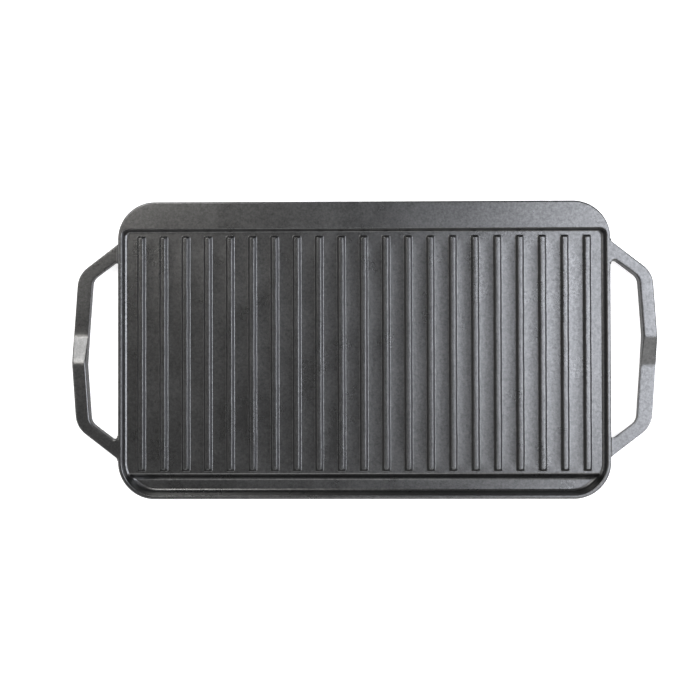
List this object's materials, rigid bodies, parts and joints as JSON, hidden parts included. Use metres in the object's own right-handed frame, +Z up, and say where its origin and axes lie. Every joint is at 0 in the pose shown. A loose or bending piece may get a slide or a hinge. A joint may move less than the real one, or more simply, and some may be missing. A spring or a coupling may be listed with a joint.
{
  "type": "reversible griddle plate",
  "caption": "Rectangular cast-iron camp griddle, ribbed on one side and flat on the other, with a shelf, a grease gutter and a stepped loop handle at each end.",
  "frame": {"origin": "middle of the plane that the griddle rests on, under the centre of the pan", "axes": "+X along the length to the right handle, +Y to the back shelf of the ribbed side, +Z up out of the ribbed side"},
  "size_m": [0.496, 0.253, 0.019],
  "materials": {
    "iron": "seasoned sand-cast surface, fine grain, satin"
  },
  "bodies": {
    "root": {"deck_plate": "iron", "grease_gutter": "iron", "back_shelf": "iron", "front_wall": "iron", "back_wall": "iron", "left_wall": "iron", "right_wall": "iron", "left_handle": "iron", "right_handle": "iron", "rib_01": "iron", "rib_02": "iron", "rib_03": "iron", "rib_04": "iron", "rib_05": "iron", "rib_06": "iron", "rib_07": "iron", "rib_08": "iron", "rib_09": "iron", "rib_10": "iron", "rib_11": "iron", "rib_12": "iron", "rib_13": "iron", "rib_14": "iron", "rib_15": "iron", "rib_16": "iron", "rib_17": "iron", "rib_18": "iron", "rib_19": "iron", "rib_20": "iron", "rib_21": "iron"}
  },
  "joints": []
}
